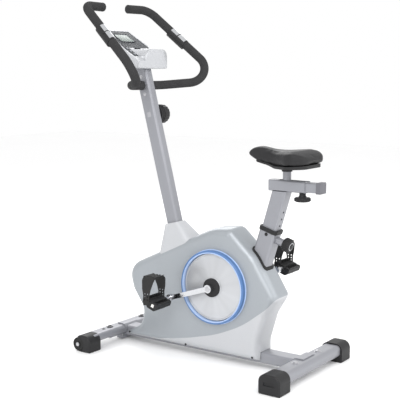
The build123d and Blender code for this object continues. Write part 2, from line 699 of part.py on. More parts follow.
# ---------------------------------------------------------------- seat
def post_collar():
    """Plastic bush with a flange in the mouth of the seat tube."""
    flange = bar(seat_plane(COLLAR_Z), COLLAR_H, SEAT_TUBE_D + 5, SEAT_TUBE_W + 5, 11)
    depth = 70.0
    bush = bar(seat_plane(COLLAR_Z - depth), depth / cos(radians(SEAT_LEAN)), SEAT_TUBE_D - 4.4,
               SEAT_TUBE_W - 4.4, 7.8)
    part = flange + bush
    part -= bar(seat_plane(COLLAR_Z - 120), 200, POST_D + 0.6, POST_W + 0.6, 6.3)
    return part - rod(pin_axis(20), pin_axis(40), HOLE_R + 1.3)


def seat_post():
    bottom = seat_plane(352.0)
    part = tube(bottom, 330, POST_D, POST_W, 6)
    part = below(part, SLEEVE_LOW)
    for step in range(-3, 5):
        centre = seat_plane(PIN_Z) * Pos(0, 0, step * HOLE_PITCH)
        start, end = (centre * Pos(-18, 0, 0)).position, (centre * Pos(-34, 0, 0)).position
        part -= rod(start, end, HOLE_R)
    return part


def height_pin():
    """Spring pin that locks the seat height, with its grip and chrome cap."""
    part = rod(pin_axis(POST_D / 2 + 0.4), pin_axis(66), HOLE_R - 0.2)
    part += rod(pin_axis(62), pin_axis(90), 24)
    part = chamfer(part.edges().filter_by(GeomType.CIRCLE).filter_by(lambda e: e.radius > 23), 3)
    return part + rod(pin_axis(89), pin_axis(93), 12)


CLAMP_X = -369.0
SLIDER_END = -428.0


def slider_sleeve():
    """Square sleeve on top of the post, slotted above for the saddle post."""
    middle = (SLEEVE_LOW + SLEEVE_TOP) / 2
    plane = Plane(origin=(SLEEVE_REAR, 0, middle), x_dir=(0, 1, 0), z_dir=(1, 0, 0))
    part = tube(plane, SLEEVE_FRONT - SLEEVE_REAR, SLEEVE_W, SLEEVE_TOP - SLEEVE_LOW, 6, 2.5)
    part -= box(SLEEVE_REAR - 5, -281, -15, 15, SLEEVE_TOP - 8, SLEEVE_TOP + 5)
    return part - rod((CLAMP_X, 0, 600), (CLAMP_X, 0, 630), 4.3)


def saddle_slider():
    plane = Plane(origin=(SLIDER_END, 0, (SLEEVE_LOW + SLEEVE_TOP) / 2), x_dir=(0, 1, 0), z_dir=(1, 0, 0))
    part = tube(plane, -264 - SLIDER_END, SLEEVE_W - 5.6, SLEEVE_TOP - SLEEVE_LOW - 5.6, 4, 2)
    stem = rod((SADDLE_POST_X, 0, 650), (SADDLE_POST_X, 0, 700), SADDLE_POST_R)
    stem -= box(-500, -100, -15.2, 15.2, 600, 654)
    return part + stem


def slider_end_cap():
    part = box(-447.4, SLIDER_END - 0.1, -19.5, 19.5, SLEEVE_LOW + 0.5, SLEEVE_TOP - 0.5)
    return chamfer(part.faces().sort_by(Axis.X)[0].edges(), 3)


def clamp_knob():
    part = rod((CLAMP_X, 0, 590), (CLAMP_X, 0, 606), 27.5)
    part = chamfer(part.edges().filter_by(GeomType.CIRCLE), 3)
    for step in range(8):
        angle = radians(45 * step)
        x, y = CLAMP_X + 31 * cos(angle), 31 * sin(angle)
        part -= rod((x, y, 580), (x, y, 615), 6)
    part += rod((CLAMP_X, 0, 604), (CLAMP_X, 0, SLEEVE_LOW - 0.4), 11)
    return part + rod((CLAMP_X, 0, 610), (CLAMP_X, 0, SLEEVE_LOW + 2.4), 4.0)


SADDLE_PLAN = [(-420, 70, 50), (-372, 108, 42), (-262, 40, 70), (-155, 27, 24)]


def saddle_plan(shrink=0.0):
    side = [(x + shrink * (-1 if x > -200 else 1), y - shrink, r - shrink) for x, y, r in SADDLE_PLAN]
    points = side + [(x, -y, r) for x, y, r in reversed(side)]
    line = FilletPolyline(*[(x, y) for x, y, r in points], radius=[r for x, y, r in points], close=True)
    return make_face(line)


def saddle_cushion():
    """Padded top of the saddle: its plan shape cut to the side profile."""
    body = extrude(Pos(0, 0, 690) * saddle_plan(), amount=90)
    side = profile([(-421, 716, 10), (-421, 744, 20), (-385, 758, 60), (-285, 752, 200), (-185, 769, 22),
                    (-154, 742, 8), (-190, 724, 20), (-290, 708, 60)], 130)
    return body & side


def saddle_pan():
    """Stiff base under the cushion, with the clamp that takes the saddle post."""
    body = extrude(Pos(0, 0, 690) * saddle_plan(12), amount=60)
    side = profile([(-412, 704, 4), (-412, 730, 0), (-290, 730, 0), (-200, 735, 0), (-200, 716, 6),
                    (-290, 700, 60)], 130)
    part = (body & side) - saddle_cushion()
    part = part.solids().sort_by(SortBy.VOLUME)[-1]
    clamp = rod((SADDLE_POST_X, 0, 688), (SADDLE_POST_X, 0, 706), 18)
    part += clamp
    return part - rod((SADDLE_POST_X, 0, 650), (SADDLE_POST_X, 0, 700.2), SADDLE_POST_R + 0.1)


# ---------------------------------------------------------------- covers and trim on them
def covers():
    """The four cover shells: an upper and a lower one on each side."""
    shell = housing_solid() - housing_solid(COVER_WALL)
    for hole in cover_space():
        shell -= hole
    lower = lower_region()
    upper_shell, lower_shell = shell - lower, shell & lower
    return {"upper_cover_left": left_half(upper_shell), "upper_cover_right": right_half(upper_shell),
            "lower_cover_left": left_half(lower_shell), "lower_cover_right": right_half(lower_shell)}


def cover_ring(side):
    """Raised round rim on the side of the housing, round the crank disc."""
    part = disc_y(CRANK_X, CRANK_Z, RING_R, COVER_HALF + 0.1, 77)
    part -= disc_y(CRANK_X, CRANK_Z, RING_R - 10, 50, 80)
    part = chamfer(part.faces().sort_by(Axis.Y)[-1].edges(), 2)
    return part if side > 0 else mirrored(part)


def mast_boot(housing):
    """Flared collar between the mast and the top of the housing."""
    slope = -degrees(atan(0.455))
    a = radians(slope)
    base = Plane(origin=(124, 0, 366), x_dir=(cos(a), 0, sin(a)), z_dir=(-sin(a), 0, cos(a)))
    top = mast_plane(472.0)
    part = loft([base * RectangleRounded(190, 112, 34), top * RectangleRounded(64, 56, 14)])
    part -= loft([base * RectangleRounded(182, 104, 30), top * RectangleRounded(58, 50, 11)])
    return part - housing


def seat_gasket(housing):
    """Rubber ring round the seat tube on the sloping top of the housing."""
    ring = bar(seat_plane(330), 130, SEAT_TUBE_D + 12, SEAT_TUBE_W + 11, 14)
    ring -= bar(seat_plane(300), 200, SEAT_TUBE_D + 0.6, SEAT_TUBE_W + 0.6, 10.3)
    skin = Pos(-3.5, 0, 4) * housing
    return (ring & skin) - housing


def all_parts():
    housing = housing_solid()
    parts = {
        "main_beam": main_beam(),
        "seat_tube": seat_tube(),
        "mast_stub": mast_stub(),
        "crank_post": crank_post(),
        "flywheel_fork": flywheel_fork(),
        "front_stabilizer": stabilizer(FRONT_X, FRONT_TUBE),
        "rear_stabilizer": stabilizer(REAR_X, REAR_TUBE),
        "front_end_caps": group(front_cap(1), front_cap(-1)),
        "rear_end_caps": group(rear_cap(1), rear_cap(-1)),
        "frame_bolts": frame_bolts(),
        "transport_wheel_left": transport_wheel(1),
        "transport_wheel_right": transport_wheel(-1),
        "mast": mast(),
        "mast_boot": mast_boot(housing),
        "handlebar": handlebar(),
        "lower_grips": group(lower_grip(1), lower_grip(-1)),
        "upper_grips": group(upper_grip(1), upper_grip(-1)),
        "pulse_sensors": group(pulse_sensor(1), pulse_sensor(-1)),
        "sensor_plates": sensor_plates(),
        "console_shell": console_shell(),
        "console_face": console_face(),
        "console_lens": console_lens(),
        "dial_base": dial_base(),
        "tension_dial": tension_dial(),
        "tension_cable": tension_cable(),
        "cover_rings": group(cover_ring(1), cover_ring(-1)),
        "seat_gasket": seat_gasket(housing),
        "crank_axle": crank_axle(),
        "crank_bearings": crank_bearings(),
        "drive_pulley": drive_pulley(),
        "drive_belt": drive_belt(),
        "flywheel": flywheel(),
        "flywheel_axle": flywheel_axle(),
        "brake_caliper": brake_caliper(),
        "crank_disc_left": crank_disc(1),
        "crank_disc_right": crank_disc(-1),
        "crank_arm_left": crank_arm(1),
        "crank_arm_right": crank_arm(-1),
        "pedal_spindles": pedal_spindles(),
        "pedal_left": pedal(1),
        "pedal_right": pedal(-1),
        "pedal_strap_left": pedal_strap(1),
        "pedal_strap_right": pedal_strap(-1),
        "post_collar": post_collar(),
        "height_pin": height_pin(),
        "seat_post": seat_post(),
        "slider_sleeve": slider_sleeve(),
        "saddle_slider": saddle_slider(),
        "slider_end_cap": slider_end_cap(),
        "clamp_knob": clamp_knob(),
        "saddle_pan": saddle_pan(),
        "saddle_cushion": saddle_cushion(),
    }
    parts.update(covers())
    for name, (s, y) in BUTTONS.items():
        parts[name] = console_button(s, y)
    return parts


if __name__ == "__main__":
    os.makedirs("parts", exist_ok=True)
    for name, part in all_parts().items():
        export_step(part, os.path.join("parts", name + ".step"))
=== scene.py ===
"""Looks of an upright exercise bike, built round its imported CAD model.

Metres, in the CAD's frame: +X forward, +Y to the rider's left, +Z up from the floor.
"""
import json
import math

import bmesh
import bpy
from mathutils import Matrix, Vector


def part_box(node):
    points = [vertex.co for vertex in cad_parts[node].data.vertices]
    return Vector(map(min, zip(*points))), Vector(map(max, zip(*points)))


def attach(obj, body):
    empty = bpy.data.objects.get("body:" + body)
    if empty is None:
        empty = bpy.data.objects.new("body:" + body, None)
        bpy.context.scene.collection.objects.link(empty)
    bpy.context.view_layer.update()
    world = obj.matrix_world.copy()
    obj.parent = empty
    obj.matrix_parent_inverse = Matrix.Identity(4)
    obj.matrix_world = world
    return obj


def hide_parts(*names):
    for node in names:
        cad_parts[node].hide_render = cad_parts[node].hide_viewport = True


bl_info = {
    "name": "Exercise Bike Looks",
    "version": (1, 0, 0),
    "blender": (4, 5, 0),
    "location": "3D View > Sidebar > Bike",
    "description": "Builds the finished surfaces and small parts of an exercise bike",
    "category": "Object",
}

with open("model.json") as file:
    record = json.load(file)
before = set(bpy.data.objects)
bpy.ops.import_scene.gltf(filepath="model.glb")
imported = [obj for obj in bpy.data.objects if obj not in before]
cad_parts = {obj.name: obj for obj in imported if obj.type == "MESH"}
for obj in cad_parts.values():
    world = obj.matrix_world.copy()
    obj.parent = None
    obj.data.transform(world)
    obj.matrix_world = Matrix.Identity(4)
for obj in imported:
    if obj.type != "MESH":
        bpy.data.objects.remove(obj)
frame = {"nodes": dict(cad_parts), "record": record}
NODES = frame["nodes"]
MM = 0.001

# ---------------------------------------------------------------- places taken from the CAD
CRANK = Vector((-55, 0, 270)) * MM
CRANK_REACH = 165 * MM
CRANK_TURN = math.radians(-18)
PEDAL_TILT = math.radians(20)

# The rest of the places are in millimetres.
PEDAL_Y = 181
MAST_X, MAST_Z = 159, 475       # a point on the mast's axis
MAST_SLOPE = 0.26
MAST_SIDE = 20                  # from its middle plane to its side faces
SEAT_X, SEAT_Z = -238.5, 448    # a point on the seat tube's axis
SEAT_SLOPE = -0.305
SEAT_SIDE = 26                  # likewise
BAR_Z = 967
DIAL_Z = 862
PIN_Z = 460
MAST_LEAN = math.atan(MAST_SLOPE)
SEAT_LEAN = math.atan(SEAT_SLOPE)
PANEL_TILT = math.radians(32.8)


def at(x, y, z):
    """Matrix that moves a shape to a place in millimetres."""
    return Matrix.Translation((x * MM, y * MM, z * MM))


def sideways(side):
    """Turns a shape's Z to the bike's left (1) or right (-1)."""
    return Matrix.Rotation(-side * math.pi / 2, 4, "X")


def leaning(x, z, lean):
    """Matrix whose Z runs up a leaning tube and whose X points forward across it."""
    return at(x, 0, z) @ Matrix.Rotation(lean, 4, "Y")


def mast_at(z):
    return leaning(MAST_X + MAST_SLOPE * (z - MAST_Z), z, MAST_LEAN)


def seat_at(z):
    return leaning(SEAT_X + SEAT_SLOPE * (z - SEAT_Z), z, SEAT_LEAN)


def aimed(origin, z_dir, x_hint=(0, 0, 1)):
    """Matrix at origin with its Z along z_dir and its X as near x_hint as it can be."""
    z = Vector(z_dir).normalized()
    y = z.cross(Vector(x_hint)).normalized()
    x = y.cross(z)
    turn = Matrix((x, y, z)).transposed().to_4x4()
    return Matrix.Translation(origin) @ turn


PANEL = at(320, 0, 1096) @ Matrix.Rotation(-PANEL_TILT, 4, "Y")


def arm_end(side):
    """The pedal end of a crank arm, on the bike's middle plane."""
    reach = CRANK_REACH * side
    return CRANK + Vector((reach * math.cos(CRANK_TURN), 0, reach * math.sin(CRANK_TURN)))


def pedal_at(side):
    """Matrix on a pedal's axis, with X along the tread toward the toe and Y to the bike's left."""
    centre = arm_end(side) + Vector((0, side * PEDAL_Y * MM, 0))
    return Matrix.Translation(centre) @ Matrix.Rotation(-PEDAL_TILT, 4, "Y")


# ---------------------------------------------------------------- shader arithmetic
class Link:
    """A shader socket in an expression. Arithmetic on it adds Math nodes."""

    def __init__(self, finish, socket):
        self.finish = finish
        self.socket = socket

    def math(self, operation, *values):
        return self.finish.node("ShaderNodeMath", {"operation": operation}, dict(enumerate(values)))

    def __add__(self, other):
        return self.math("ADD", self, other)

    __radd__ = __add__

    def __sub__(self, other):
        return self.math("SUBTRACT", self, other)

    def __rsub__(self, other):
        return self.math("SUBTRACT", other, self)

    def __mul__(self, other):
        return self.math("MULTIPLY", self, other)

    __rmul__ = __mul__

    def __pow__(self, other):
        return self.math("POWER", self, other)

    def __gt__(self, other):
        return self.math("GREATER_THAN", self, other)

    def __lt__(self, other):
        return self.math("LESS_THAN", self, other)

    def clamped(self):
        return self.math("MINIMUM", self.math("MAXIMUM", self, 0.0), 1.0)

    def size(self):
        return self.math("ABSOLUTE", self)


class Finish:
    """A material being made: its nodes, its shader and the patterns that feed it."""

    def __init__(self, name, **constants):
        self.material = bpy.data.materials.new(name)
        self.material.use_nodes = True
        self.tree = self.material.node_tree
        self.shader = next(n for n in self.tree.nodes if n.type == "BSDF_PRINCIPLED")
        for socket, value in constants.items():
            self.shader.inputs[socket.replace("_", " ")].default_value = value

    def node(self, kind, settings=None, values=None, output=0):
        """Adds a node; its settings are set before its sockets get their values or links."""
        made = self.tree.nodes.new(kind)
        for key, value in (settings or {}).items():
            if key == "stops":
                self.set_stops(made.color_ramp, value)
            else:
                setattr(made, key, value)
        for key, value in (values or {}).items():
            if isinstance(value, Link):
                self.tree.links.new(value.socket, made.inputs[key])
            else:
                made.inputs[key].default_value = value
        return Link(self, made.outputs[output])

    def set_stops(self, ramp, stops):
        ramp.elements[0].position = stops[0][0]
        ramp.elements[0].color = stops[0][1]
        ramp.elements[1].position = stops[-1][0]
        ramp.elements[1].color = stops[-1][1]
        for position, colour in stops[1:-1]:
            ramp.elements.new(position).color = colour

    def feed(self, socket, value):
        self.tree.links.new(value.socket, self.shader.inputs[socket])

    def place(self, centre=(0, 0, 0), turn=(0, 0, 0), scale=(1, 1, 1)):
        """Object coordinates, moved to a centre, turned and scaled."""
        where = self.node("ShaderNodeTexCoord", output="Object")
        if centre == (0, 0, 0) and turn == (0, 0, 0) and scale == (1, 1, 1):
            return where
        moved = self.node("ShaderNodeVectorMath", {"operation": "SUBTRACT"}, {0: where, 1: centre})
        values = {"Vector": moved, "Rotation": turn}
        turned = self.node("ShaderNodeMapping", {"vector_type": "POINT"}, values)
        return self.node("ShaderNodeVectorMath", {"operation": "MULTIPLY"}, {0: turned, 1: scale})

    def noise(self, scale, detail=3.0, roughness=0.5, where=None):
        values = {"Scale": scale, "Detail": detail, "Roughness": roughness, "Vector": where or self.place()}
        return self.node("ShaderNodeTexNoise", None, values)

    def cells(self, scale, feature="F1", where=None):
        values = {"Scale": scale, "Vector": where or self.place()}
        return self.node("ShaderNodeTexVoronoi", {"feature": feature}, values, "Distance")

    def split(self, vector):
        """The X, Y and Z of a vector."""
        made = self.node("ShaderNodeSeparateXYZ", None, {"Vector": vector})
        node = made.socket.node
        return [Link(self, node.outputs[i]) for i in range(3)]

    def mixed(self, factor, low, high):
        """A colour between low and high."""
        settings = {"data_type": "RGBA"}
        return self.node("ShaderNodeMix", settings, {0: factor, 6: low, 7: high}, 2)

    def bumped(self, height, depth, strength=1.0):
        values = {"Height": height, "Distance": depth, "Strength": strength}
        self.feed("Normal", self.node("ShaderNodeBump", None, values))


def shade(colour, factor):
    return tuple(min(1.0, c * factor) for c in colour[:3]) + (1.0,)


def lacquer(name, colour, metallic, roughness, coat=0.25, flake=1100.0, peel=0.00012):
    """Sprayed metallic lacquer: fine flakes, a slow tone drift and a faint orange peel."""
    made = Finish(name, Coat_Weight=coat, Coat_Roughness=0.12, Metallic=metallic)
    drift = made.noise(3.5, 4.0)
    flakes = made.noise(flake, 1.0)
    tone = (drift - 0.5) * 0.55 + (flakes - 0.5) * 0.7 + 0.5
    made.feed("Base Color", made.mixed(tone.clamped(), shade(colour, 0.88), shade(colour, 1.10)))
    smears = made.noise(26.0, 5.0, 0.65)
    made.feed("Roughness", (smears - 0.5) * 0.14 + roughness + (flakes - 0.5) * 0.10)
    made.bumped(made.noise(240.0, 2.0), peel, 0.5)
    return made.material


def moulded(name, colour, roughness, grain=900.0, depth=0.00012, level=0.2):
    """Moulded plastic with a fine spark-eroded texture and handling marks."""
    made = Finish(name, Specular_IOR_Level=level)
    marks = made.noise(18.0, 6.0, 0.7)
    made.feed("Base Color", made.mixed(marks, shade(colour, 0.8), shade(colour, 1.25)))
    made.feed("Roughness", (marks - 0.5) * 0.25 + roughness)
    texture = made.cells(grain) + made.noise(grain * 0.7, 2.0) * 0.6
    made.bumped(texture, depth, 0.6)
    return made.material


def foam_skin(name, colour):
    """Closed-cell foam: soft and pitted, with painted shade in the pits that leaves the cell walls paler."""
    made = Finish(name, Specular_IOR_Level=0.12)
    pits = made.cells(1300.0)
    blotch = made.noise(35.0, 4.0)
    # Painted shade: the pit field of the bump darkens the colour down in the pits. The blotches are random
    # tone.
    tone = (pits * 0.9 + blotch * 0.5).clamped()
    made.feed("Base Color", made.mixed(tone, shade(colour, 0.7), shade(colour, 1.45)))
    made.feed("Roughness", 0.95 - blotch * 0.12)
    made.bumped(pits + made.noise(420.0, 3.0) * 0.6, 0.0003, 0.7)
    return made.material


def plated(name, colour, roughness, brushed=0.0):
    """Plated metal with faint polish lines and finger marks."""
    made = Finish(name, Metallic=1.0)
    marks = made.noise(22.0, 6.0, 0.7)
    lines = made.noise(60.0, 3.0, 0.5, made.place(scale=(1, 14, 1)))
    made.feed("Base Color", made.mixed(marks, shade(colour, 0.9), shade(colour, 1.05)))
    made.feed("Roughness", (marks - 0.4) * 0.12 + roughness + (lines - 0.5) * 0.1 * (1 + brushed))
    made.bumped(lines, 0.00006 + 0.0001 * brushed, 0.4)
    return made.material


def hide(name, colour):
    """Black leatherette: pebbled grain with fine wrinkles and a worn sheen on the crown."""
    made = Finish(name, Specular_IOR_Level=0.22)
    pebbles = made.cells(420.0, "SMOOTH_F1")
    creases = made.cells(150.0, "DISTANCE_TO_EDGE")
    rub = made.noise(14.0, 4.0)
    made.feed("Base Color", made.mixed(rub, shade(colour, 0.75), shade(colour, 1.5)))
    made.feed("Roughness", 0.46 + (rub - 0.5) * 0.22 + pebbles * 0.12)
    made.bumped((1 - pebbles) + (creases * 5).clamped() * 0.5, 0.0004, 0.75)
    return made.material


def turned_disc(name, colour):
    """Spun metallic disc: fine turned circles, and broad rays of painted sheen in its colour that run out
    from the hub.
    """
    made = Finish(name, Metallic=0.55, Coat_Weight=0.3, Coat_Roughness=0.1)
    across, _, up = made.split(made.place(centre=tuple(CRANK)))
    angle = up.math("ARCTAN2", up, across)
    radius = (across * across + up * up) ** 0.5
    # Painted sheen: rays of lighter and darker colour by angle round the hub stand in for the disc's radial
    # reflections.
    painted_sheen_rays = (angle * 6.0).math("SINE", angle * 6.0) * 0.5 + (angle * 17.0).math("SINE", angle * 17.0) * 0.3
    circles = made.noise(1.0, 2.0, 0.5, made.node("ShaderNodeCombineXYZ", None, {0: radius * 1600.0}))
    # The tone holds the painted sheen rays and the real turned circles.
    tone = painted_sheen_rays * 0.2 + (circles - 0.5) * 0.5 + 0.5
    made.feed("Base Color", made.mixed(tone.clamped(), shade(colour, 0.86), shade(colour, 1.10)))
    made.feed("Roughness", 0.32 + (circles - 0.5) * 0.2)
    made.bumped(circles, 0.00006, 0.5)
    return made.material


def display(name):
    """Grey-green liquid crystal window with plain blocks of segments and no text."""
    made = Finish(name, Specular_IOR_Level=0.25)
    local = made.place(centre=tuple(PANEL.translation), turn=(0, PANEL_TILT, 0), scale=(1000, 1000, 1000))
    along, across, _ = made.split(local)
    rows = ((along * 0.11).math("FRACT", along * 0.11) - 0.5).size() < 0.3
    bars = ((across * 0.16).math("FRACT", across * 0.16) - 0.5).size() < 0.33
    strokes = ((across * 0.48).math("FRACT", across * 0.48) - 0.5).size() < 0.36
    inside = (along > 62) * (along < 97) * (across > -26) * (across < 34)
    ink = (rows * bars * strokes * inside).clamped()
    veil = made.noise(40.0, 3.0) * 0.3
    ground = made.mixed(veil, (0.21, 0.25, 0.23, 1), (0.32, 0.37, 0.34, 1))
    made.feed("Base Color", made.mixed(ink * 0.75, ground, (0.03, 0.04, 0.04, 1)))
    made.feed("Roughness", 0.14 + veil * 0.2)
    return made.material


def casting(name, colour):
    """Painted iron casting with a sandy skin."""
    made = Finish(name, Metallic=0.5)
    sand = made.noise(420.0, 4.0, 0.7)
    made.feed("Base Color", made.mixed(sand, shade(colour, 0.7), shade(colour, 1.3)))
    made.feed("Roughness", 0.45 + sand * 0.25)
    made.bumped(sand, 0.0003, 0.7)
    return made.material


FINISHES = {}


def finish(slot):
    return FINISHES[slot]


def make_finishes(colours):
    """Makes one material for each slot of the record, and the few that only small parts use."""
    paint, cover, light = tuple(colours.paint), tuple(colours.cover), tuple(colours.lower_cover)
    black, blue, disc = tuple(colours.plastic), tuple(colours.ring), tuple(colours.disc)
    FINISHES.update({
        "silver_paint": lacquer("Silver lacquer", paint, 0.4, 0.42, 0.12),
        "cover_silver": lacquer("Cover silver", cover, 0.35, 0.42, 0.12),
        "cover_light": lacquer("Cover light silver", light, 0.25, 0.44, 0.12),
        "black_plastic": moulded("Black plastic", black, 0.48),
        "dark_panel": moulded("Console panel", (0.030, 0.034, 0.040), 0.42, 600.0, 0.00005),
        "lens": display("Display window"),
        "foam": foam_skin("Foam", (0.030, 0.030, 0.031)),
        "chrome": plated("Chrome", (0.60, 0.61, 0.63), 0.16),
        "steel": plated("Zinc steel", (0.52, 0.52, 0.54), 0.3, 1.0),
        "rubber_black": moulded("Rubber", (0.020, 0.020, 0.020), 0.7, 500.0, 0.0002, 0.3),
        "ring_blue": lacquer("Blue ring", blue, 0.0, 0.4, 0.12),
        "disc_silver": turned_disc("Turned disc", disc),
        "leather": hide("Leatherette", (0.018, 0.018, 0.019)),
        "cast_iron": casting("Iron", (0.13, 0.13, 0.14)),
        "button": moulded("Key rubber", (0.30, 0.31, 0.33), 0.5, 700.0, 0.00008),
        "painted_halo_blue": lacquer("Light blue painted halo", (0.36, 0.48, 0.72), 0.0, 0.3, 0.2),
        # Painted highlight: the rims at the blue ring's edges are real shapes, and their pale blue stands in
        # for the halo of light along them.
        "plug_grey": moulded("Grey plug", (0.14, 0.14, 0.155), 0.5),
        "reflector": lacquer("Reflector", (0.75, 0.74, 0.70), 0.0, 0.12, 0.8, 300.0, 0.0004),
        "label": moulded("Pale label", (0.36, 0.36, 0.38), 0.4, 500.0, 0.00003),
    })


# ---------------------------------------------------------------- mesh work
def settle(bm):
    """Closes doubles and points every face outwards."""
    bmesh.ops.remove_doubles(bm, verts=bm.verts, dist=1e-6)
    bmesh.ops.recalc_face_normals(bm, faces=bm.faces)
    return bm


def moved(bm, matrix):
    bmesh.ops.transform(bm, matrix=matrix, verts=bm.verts)
    return bm


def spun(profile, steps=64):
    """Solid of revolution round Z from (radius, height) points in millimetres."""
    bm = bmesh.new()
    verts = [bm.verts.new((r * MM, 0, h * MM)) for r, h in profile]
    edges = [bm.edges.new(pair) for pair in zip(verts, verts[1:])]
    bmesh.ops.spin(bm, geom=verts + edges, cent=(0, 0, 0), axis=(0, 0, 1), angle=math.tau,
                   steps=steps, use_merge=True)
    return settle(bm)


def rounded_block(size, radius, segments=3):
    """Box of a size in millimetres with all its edges rounded."""
    bm = bmesh.new()
    bmesh.ops.create_cube(bm, size=MM)
    bmesh.ops.scale(bm, vec=size, verts=bm.verts)
    bmesh.ops.bevel(bm, geom=bm.edges, offset=radius * MM, affect="EDGES", segments=segments,
                    profile=0.5, material=-1)
    return settle(bm)


def slab(outline, thickness, bevel=0.0, segments=2):
    """Flat plate of an XY outline in millimetres, its rim rounded by bevel."""
    bm = bmesh.new()
    face = bm.faces.new([bm.verts.new((x * MM, y * MM, 0)) for x, y in outline])
    grown = bmesh.ops.extrude_face_region(bm, geom=[face])
    top = [v for v in grown["geom"] if isinstance(v, bmesh.types.BMVert)]
    bmesh.ops.translate(bm, vec=(0, 0, thickness * MM), verts=top)
    settle(bm)
    if bevel:
        rim = [e for e in bm.edges if all(v in top for v in e.verts)]
        bmesh.ops.bevel(bm, geom=rim, offset=bevel * MM, affect="EDGES", segments=segments,
                        profile=0.5, material=-1)
    return settle(bm)


def rounded_outline(width, height, radius, steps=6):
    """Corner-rounded rectangle as a list of points, centred on the origin."""
    points = []
    for sx, sy, start in ((1, 1, 0), (-1, 1, 90), (-1, -1, 180), (1, -1, 270)):
        cx, cy = sx * (width / 2 - radius), sy * (height / 2 - radius)
        for i in range(steps + 1):
            a = math.radians(start + 90 * i / steps)
            points.append((cx + radius * math.cos(a), cy + radius * math.sin(a)))
    return points


def frame_plate(outline, width, thickness, bevel=0.4):
    """Flat rim: an outline with its middle taken out, width wide."""
    bm = bmesh.new()
    face = bm.faces.new([bm.verts.new((x * MM, y * MM, 0)) for x, y in outline])
    bmesh.ops.inset_region(bm, faces=[face], thickness=width * MM, use_even_offset=True,
                           use_boundary=True)
    bmesh.ops.delete(bm, geom=[face], context="FACES")
    grown = bmesh.ops.extrude_face_region(bm, geom=bm.faces[:])
    top = [v for v in grown["geom"] if isinstance(v, bmesh.types.BMVert)]
    bmesh.ops.translate(bm, vec=(0, 0, thickness * MM), verts=top)
    settle(bm)
    rim = [e for e in bm.edges if all(v in top for v in e.verts) and e.calc_face_angle(0) > 1]
    bmesh.ops.bevel(bm, geom=rim, offset=bevel * MM, affect="EDGES", segments=2, profile=0.5, material=-1)
    return settle(bm)


def joined(parts):
    """One bmesh holding all the shapes."""
    whole = bmesh.new()
    for part in parts:
        mesh = bpy.data.meshes.new("part")
        part.to_mesh(mesh)
        part.free()
        whole.from_mesh(mesh)
        bpy.data.meshes.remove(mesh)
    return whole


def piece(name, bm, slot, body="frame", replaces=(), sharp=35):
    """Finishes a bmesh as an object that rides on a CAD body."""
    mesh = bpy.data.meshes.new(name)
    bm.to_mesh(mesh)
    bm.free()
    mesh.shade_smooth()
    mesh.set_sharp_from_angle(angle=math.radians(sharp))
    mesh.materials.append(finish(slot))
    obj = bpy.data.objects.new(name, mesh)
    bpy.context.scene.collection.objects.link(obj)
    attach(obj, body)
    if replaces:
        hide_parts(*replaces)
    return obj


def copied_node(name, node, slot, body="frame"):
    """A CAD piece with its stepped edges shaded as soft curves."""
    bm = bmesh.new()
    bm.from_mesh(NODES[node].data)
    made = piece(name, settle(bm), slot, body, (node,), 30)
    weights = made.modifiers.new("Even shading", "WEIGHTED_NORMAL")
    weights.keep_sharp = True
    weights.weight = 80


# ---------------------------------------------------------------- settings
def colour_setting(name, description, default):
    return bpy.props.FloatVectorProperty(name=name, description=description, subtype="COLOR", size=3,
                                         min=0, max=1, default=default)


def length_setting(name, description, default):
    return bpy.props.FloatProperty(name=name, description=description, default=default, min=0,
                                   subtype="DISTANCE", unit="LENGTH")


class BikeColours(bpy.types.PropertyGroup):
    """Main colours of the bike."""
    paint: colour_setting("Frame paint", "Lacquer of the steel tubes", (0.275, 0.28, 0.305))
    cover: colour_setting("Upper covers", "Upper covers and console", (0.33, 0.353, 0.377))
    lower_cover: colour_setting("Lower covers", "Lower covers and mast collar", (0.50, 0.51, 0.53))
    plastic: colour_setting("Black plastic", "Caps, knobs and pedals", (0.022, 0.022, 0.023))
    ring: colour_setting("Cover ring", "Ring round the crank disc", (0.075, 0.17, 0.38))
    disc: colour_setting("Crank disc", "Disc that turns with the crank", (0.50, 0.51, 0.53))


class SaddleSettings(bpy.types.PropertyGroup):
    """How the saddle's padding is puffed up."""
    voxel: length_setting("Voxel", "Size of the remesh before the simulation", 0.005)
    swell: length_setting("Swell limit", "Furthest that a point of the padding may move", 0.006)
    pressure: bpy.props.FloatProperty(name="Pressure", description="Air pressure under the cover",
                                      default=4.0, min=0)
    frames: bpy.props.IntProperty(name="Frames", description="Steps of the cloth simulation",
                                  default=20, min=2)


class StageSettings(bpy.types.PropertyGroup):
    """Floor, light and camera."""
    floor: length_setting("Floor", "Half width of the floor", 9.0)
    lens: bpy.props.FloatProperty(name="Lens", description="Focal length of the camera",
                                  default=82.9, min=1, subtype="DISTANCE_CAMERA")
    exposure: bpy.props.FloatProperty(name="Light", description="Strength of all the lamps",
                                      default=1.0, min=0)


# ---------------------------------------------------------------- operators
class BIKE_OT_finishes(bpy.types.Operator):
    """Make the materials and put them on the CAD's own pieces"""
    bl_idname = "bike.finishes"
    bl_label = "Finishes"

    def execute(self, context):
        make_finishes(context.scene.bike_colours)
        for entry in frame["record"]["subparts"]:
            node = NODES[entry["node"]]
            node.data.materials.clear()
            node.data.materials.append(finish(entry["material_slot"]))
        return {"FINISHED"}


